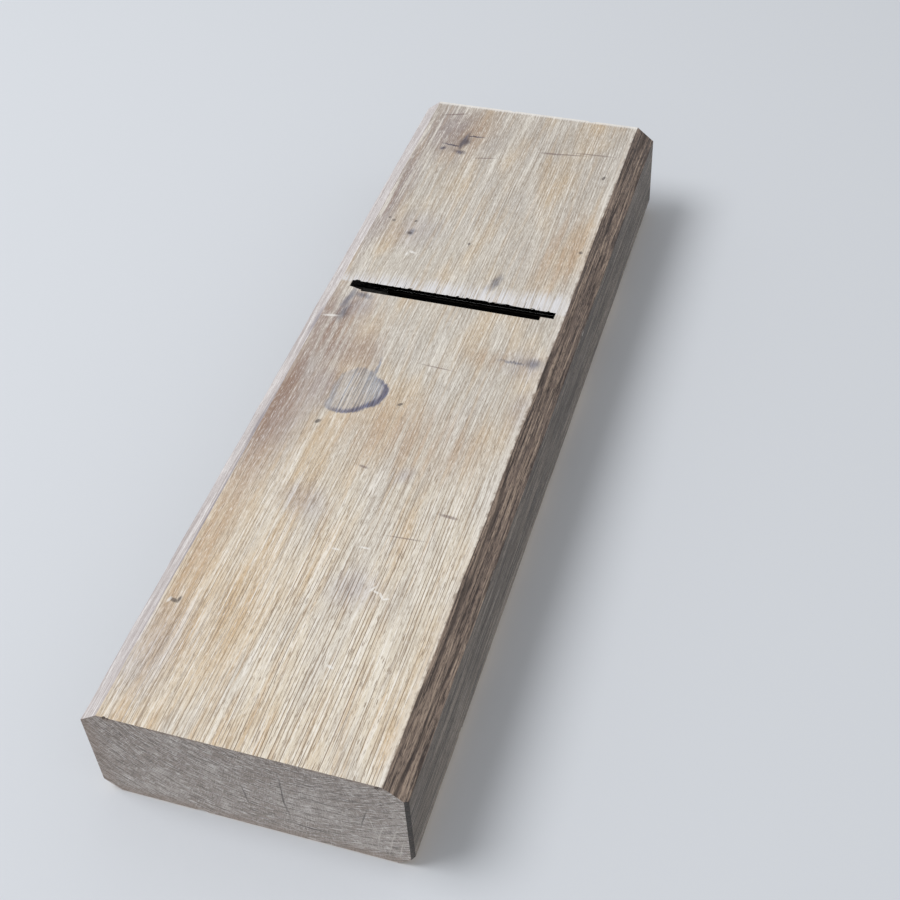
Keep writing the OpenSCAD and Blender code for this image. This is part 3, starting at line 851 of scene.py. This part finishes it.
def metal_finish(name, colours, roughness, scratch, relief, rust=0.0, metallic=1.0, soot_and_shade=0.0):
    """Old metal: a body, a dark and a pale colour, the way that its scratches run, and how rusty it is.

    The last argument is how black it is near the mouth, below a set height: oil and dust, and painted shade
    of the closed throat.
    """
    body, dark, light = colours
    finish = new_finish(name, roughness)
    finish.node_tree.nodes["Principled BSDF"].inputs["Metallic"].default_value = metallic
    place = add(finish, "TexCoord").outputs["Object"]
    scratches = mottle(finish, stretched(finish, place, scratch), 0.00022, 2.0, 0.6)
    scours = mottle(finish, stretched(finish, place, scratch, (0.3, 0.2, 0.6)), 0.0009, 3.0, 0.6)
    clouds = mottle(finish, place, 0.009, 4.0, 0.6)
    specks = mottle(finish, stretched(finish, place, (1, 1, 1), (0.2, 0.7, 0.4)), 0.0012, 4.0, 0.7)
    colour = painted(finish, shade(*body), (
        (ramp(finish, clouds, 0.36, 0.66), dark),
        (ramp(finish, scours, 0.50, 0.68, 0.0, 0.5), light),
        (ramp(finish, scratches, 0.46, 0.30, 0.0, 0.5), dark),
        (ramp(finish, scratches, 0.58, 0.70, 0.0, 0.4), light),
    ))
    height = sum_of(finish, "ADD", scratches, times(finish, specks, 0.8))
    soot_and_shade_mask = ramp(finish, axes_of(finish, place)["Z"], SOOT_AND_SHADE_LEVEL, SOOT_AND_SHADE_LEVEL * 0.4, 0.0, soot_and_shade)
    rough = ramp(finish, clouds, 0.3, 0.7, roughness - 0.06, roughness + 0.12)
    metal = None
    if rust:
        rusty = times(finish, ramp(finish, clouds, 0.44, 0.70), ramp(finish, specks, 0.40, 0.64))
        rusty = times(finish, rusty, rust)
        tint = laid_over(finish, ramp(finish, specks, 0.45, 0.70), shade(62, 44, 34), shade(98, 68, 48))
        colour = laid_over(finish, rusty, colour, tint)
        rough = laid_over(finish, rusty, rough, (0.9, 0.9, 0.9, 1))
        metal = sum_of(finish, "SUBTRACT", metallic, rusty) if metallic else None
        height = sum_of(finish, "ADD", height, times(finish, rusty, specks))
    # Painted shade: near black below a set height, for the closed throat seen through the mouth, and oil and
    # dust there.
    if soot_and_shade:
        colour = laid_over(finish, soot_and_shade_mask, colour, shade(9, 8, 8))
    coat(finish, colour, height, relief, rough, metal)
    return finish


ROUND = (1, 1, 1)
pin_steel = metal_finish("drawn steel", ((112, 106, 100), (74, 66, 60), (150, 145, 139)), 0.42, (0.06, 1, 1),
                         0.00004, 0.8)
pin_end_steel = metal_finish("sawn steel", ((98, 90, 84), (60, 52, 46), (140, 134, 128)), 0.55, ROUND,
                             0.00008, 1.0)


def pin_face(face):
    """The pin's ends are sawn, its round side is drawn."""
    return 1 if abs(face.normal.x) > 0.5 else 0


pin = worn_copy("pin_rod", "cross_pin", [pin_steel, pin_end_steel], PIN_END_WEAR, 1, pin_face)
smoothed(pin, CREASE)
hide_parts("cross_pin")
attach(pin, "block")


# The iron. A thick wedge of soft iron with a thin plate of hard steel forge-welded to its face. It
# keeps the forge's black scale, but for the ground bevel and the sides. The hammer has burred its
# head. The steel face is hollowed, so that only its rim is flattened on the stone.

IRON_EDGE_WEAR = 0.00025
STEEL_EDGE_WEAR = 0.00006
HEAD_RADIUS = 0.150
BLOWS = (-0.0215, -0.0150, -0.0086, -0.0030, 0.0040, 0.0105, 0.0168, 0.0226)
BLOW_SIZE = (0.0030, 0.00055, 0.0022)
BLOW_STRAY = (0.0024, 0.003, 0.0050)
BLOW_LEVEL = 0.0038
BLOW_OUT = 0.0002
HOLLOW_START = 0.00015
HOLLOW_END = 0.00045
HOLLOW_RIM = 0.006

scale_iron = metal_finish("forge scale", ((56, 53, 51), (34, 31, 30), (86, 81, 77)), 0.58, (1, 0.2, 0.2),
                          0.00016, 0.8, 0.35, 0.96)
filed_iron = metal_finish("filed iron", ((116, 111, 106), (78, 73, 69), (152, 147, 142)), 0.45, (1, 0.08, 1),
                          0.00006, 0.7)
ground_iron = metal_finish("ground iron", ((150, 148, 145), (118, 115, 112), (184, 182, 179)), 0.36,
                           (0.05, 1, 1), 0.00003, 0.25)
struck_iron = metal_finish("hammered iron", ((128, 122, 116), (82, 76, 71), (172, 167, 161)), 0.40, ROUND,
                           0.00018, 0.5)
rubbed_iron = metal_finish("rubbed iron edge", ((98, 92, 87), (62, 57, 53), (140, 134, 128)), 0.45, ROUND,
                           0.00006, 0.4, 0.8, 1.0)
ground_steel = metal_finish("ground steel", ((158, 160, 161), (128, 129, 130), (192, 194, 195)), 0.28,
                            (0.05, 1, 1), 0.00002, 0.18)
hollow_steel = metal_finish("hollow ground steel", ((128, 129, 130), (100, 100, 101), (160, 161, 162)), 0.36,
                            (1, 0.08, 0.08), 0.00005, 0.35)
IRON_FINISHES = (scale_iron, filed_iron, ground_iron, struck_iron, rubbed_iron)
SCALE, FILED, GROUND, STRUCK, RUBBED = range(len(IRON_FINISHES))

off_bed = on_bed.inverted()


def iron_body_face(face):
    """The head is hammered, the sides filed, the bevel ground, and the rest has the forge's scale."""
    normal = off_bed.to_3x3() @ face.normal
    if normal.y > 0.5:
        return STRUCK
    if abs(normal.x) > 0.5:
        return FILED
    return GROUND if normal.z < 0 and normal.y < -0.2 else SCALE


def iron_steel_face(face):
    """The hollow lies deeper than the rim of the face. The rest of the steel is ground bright."""
    middle = off_bed @ face.calc_center_median()
    depth = wall_out(middle.y) - SLIDE_GAP - middle.z
    return 1 if HOLLOW_START < depth < HOLLOW_END and abs(middle.x) < IRON_WIDTH / 2 - HOLLOW_RIM / 2 else 0


iron_back = worn_copy("iron_forged_back", "iron_body", IRON_FINISHES, IRON_EDGE_WEAR, RUBBED, iron_body_face)
head_along = max((off_bed @ corner.co).y for corner in iron_back.data.vertices)
blows = bmesh.new()
for number, blow_x in enumerate(BLOWS):
    drop = HEAD_RADIUS - math.sqrt(HEAD_RADIUS ** 2 - blow_x ** 2)
    stray = jitter(number + 40)
    blow = Vector((blow_x + stray.y * BLOW_STRAY[1], head_along - drop + BLOW_OUT,
                   BLOW_LEVEL + stray.z * BLOW_STRAY[2]))
    size = (BLOW_SIZE[0] + stray.x * BLOW_STRAY[0], BLOW_SIZE[1], BLOW_SIZE[2])
    dent(blows, on_bed @ blow, size, number * 2.1, 3, 0.3)
for face in blows.faces:
    face.material_index = STRUCK
chopped(iron_back, blows, IRON_FINISHES)
smoothed(iron_back, CREASE)
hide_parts("iron_body")
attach(iron_back, "iron")

iron_face = worn_copy("iron_steel_face", "iron_steel", [ground_steel, hollow_steel], STEEL_EDGE_WEAR, 0,
                      iron_steel_face)
smoothed(iron_face, CREASE)
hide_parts("iron_steel")
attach(iron_face, "iron")


# The chip breaker. A thinner plate, laminated like the iron. Its two upper corners are bent towards
# the iron, so that it wedges under the pin, and its lip is ground to meet the iron's edge.

BREAKER_EDGE_WEAR = 0.0002
LIP_SHEEN = 0.05

# The lip's front is painted near black with little sheen: painted shade of the closed mouth, and black scale
# and oil.
shade_black_steel = metal_finish("lip blackened as painted shade", ((13, 12, 12), (8, 8, 8), (20, 18, 17)), 0.85, (0.1, 1, 1),
                           0.00005, 0.0, 0.0)
shade_black_steel.node_tree.nodes["Principled BSDF"].inputs["Specular IOR Level"].default_value = LIP_SHEEN
BREAKER_FINISHES = (*IRON_FINISHES, shade_black_steel)
SHADE_BLACKENED = len(IRON_FINISHES)


def breaker_body_face(face):
    """The head is hammered, the sides filed, the lip's front black with painted shade. The rest has the
    forge's scale.
    """
    if face.normal.y > 0.5 and face.normal.z > 0.3:
        return STRUCK
    if face.normal.y < -0.9:
        return SHADE_BLACKENED
    return FILED if abs(face.normal.x) > 0.7 else SCALE


def breaker_steel_face(face):
    """The front of the lip is black: oil and dust, and painted shade of the closed mouth. The rest of the
    steel is ground.
    """
    return 1 if face.normal.y < 0 else 0


breaker_back = worn_copy("breaker_forged_back", "breaker_body", BREAKER_FINISHES, BREAKER_EDGE_WEAR, RUBBED,
                         breaker_body_face)
smoothed(breaker_back, CREASE)
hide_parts("breaker_body")
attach(breaker_back, "breaker")

breaker_lip = worn_copy("breaker_steel_lip", "breaker_steel", [ground_steel, shade_black_steel], STEEL_EDGE_WEAR, 1,
                        breaker_steel_face)
smoothed(breaker_lip, CREASE)
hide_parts("breaker_steel")
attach(breaker_lip, "breaker")


# The bench that the plane stands on, and the pale table that it lies on in the photograph. Each is
# seen by the camera, and by mirrors, only from its own side, and lets the lamps' light through.

BENCH_PAINT = shade(214, 218, 224)
STAGE_SIZE = 6.0
STAGE_GAP = 0.0003
FADE_START = 0.35
FADE_END = 1.60
SHADE_RIM = 0.005


def stage_finish(name, painted_shade_middle):
    """Plain pale paint on the front of a sheet, and where asked a painted shade, near black, under the
    block's throat. The back lets everything through.
    """
    finish = bpy.data.materials.new(name)
    finish.use_nodes = True
    finish.node_tree.nodes.clear()
    rays = add(finish, "LightPath").outputs
    place = add(finish, "TexCoord").outputs["Object"]
    axes = axes_of(finish, place)
    aside = add(finish, "Math", {"operation": "ABSOLUTE"}, {0: axes["X"]}).outputs[0]
    onward = add(finish, "Math", {"operation": "ABSOLUTE"}, {0: axes["Y"]}).outputs[0]
    shade_under_mouth = times(finish, sum_of(finish, "LESS_THAN", aside, CHEEK_GAP / 2 + SHADE_RIM),
                        sum_of(finish, "LESS_THAN", onward, block_end - 4 * SHADE_RIM))
    under_block = times(finish, sum_of(finish, "LESS_THAN", aside, block_side + SHADE_RIM),
                        sum_of(finish, "LESS_THAN", onward, block_end + SHADE_RIM))
    mirrored = sum_of(finish, "MAXIMUM", rays["Is Glossy Ray"], rays["Is Transmission Ray"])
    mirrored = times(finish, mirrored, sum_of(finish, "SUBTRACT", 1.0, under_block))
    looked_at = sum_of(finish, "MAXIMUM", rays["Is Camera Ray"], mirrored)
    back = add(finish, "NewGeometry").outputs["Backfacing"]
    shown = times(finish, looked_at, sum_of(finish, "SUBTRACT", 1.0, back))
    away = add(finish, "VectorMath", {"operation": "LENGTH"}, {0: place}).outputs["Value"]
    shown = times(finish, shown, ramp(finish, away, FADE_START, FADE_END, 1.0, 0.0))
    # Painted shade: the table is near black under the throat, for the dark inside of the closed mouth.
    colour = laid_over(finish, shade_under_mouth, BENCH_PAINT, shade(4, 4, 5)) if painted_shade_middle else None
    paint = add(finish, "BsdfDiffuse", None, {"Color": colour or BENCH_PAINT}).outputs[0]
    clear = add(finish, "BsdfTransparent").outputs[0]
    both = add(finish, "MixShader", None, {0: shown, 1: clear, 2: paint}).outputs[0]
    add(finish, "OutputMaterial", None, {"Surface": both})
    return finish


def sheet(name, level, faces_down, finish):
    """A flat sheet of the stage, at a height."""
    plane = bmesh.new()
    bmesh.ops.create_grid(plane, x_segments=1, y_segments=1, size=STAGE_SIZE / 2,
                          matrix=Matrix.Translation((0, 0, level)))
    if faces_down:
        bmesh.ops.reverse_faces(plane, faces=plane.faces[:])
    to_object(name, plane, [finish])


sheet("bench", -STAGE_GAP, False, stage_finish("bench paint", False))
# The table carries painted shade under the throat.
sheet("table", BLOCK_HEIGHT + STAGE_GAP, True, stage_finish("table paint", True))


# The light. A soft lamp on each side of the bench, one for the sole as it is photographed and one
# for the plane as it stands, and an even white room round both.

LAMP_SIZE = 0.9
LAMP_DISTANCE = 1.6
ROOM_LIGHT = 0.5
BACKGROUND = 0.74


def lamp(name, direction, power):
    """A round soft lamp that looks at the plane from a direction."""
    light = bpy.data.lights.new(name, "AREA")
    light.shape = "DISK"
    light.size = LAMP_SIZE
    light.energy = power
    holder = bpy.data.objects.new(name, light)
    away = Vector(direction).normalized()
    holder.location = away * LAMP_DISTANCE
    holder.rotation_euler = away.to_track_quat("Z", "Y").to_euler()
    bpy.context.collection.objects.link(holder)


lamp("lamp under the sole", (0.52, -0.18, -0.84), 16)
lamp("lamp over the plane", (0.25, -0.30, 0.92), 16)

room = bpy.data.worlds.new("room")
room.use_nodes = True
bpy.context.scene.world = room
backdrop = room.node_tree.nodes["Background"]
backdrop.inputs["Color"].default_value = (1, 1, 1, 1)
rays = add(room, "LightPath").outputs
mirrored = add(room, "Math", {"operation": "MAXIMUM"},
               {0: rays["Is Glossy Ray"], 1: rays["Is Transmission Ray"]}).outputs[0]
seen = sum_of(room, "MAXIMUM", rays["Is Camera Ray"], mirrored)
level = add(room, "MapRange", None, {"Value": seen, "To Min": ROOM_LIGHT, "To Max": BACKGROUND})
room.node_tree.links.new(level.outputs["Result"], backdrop.inputs["Strength"])
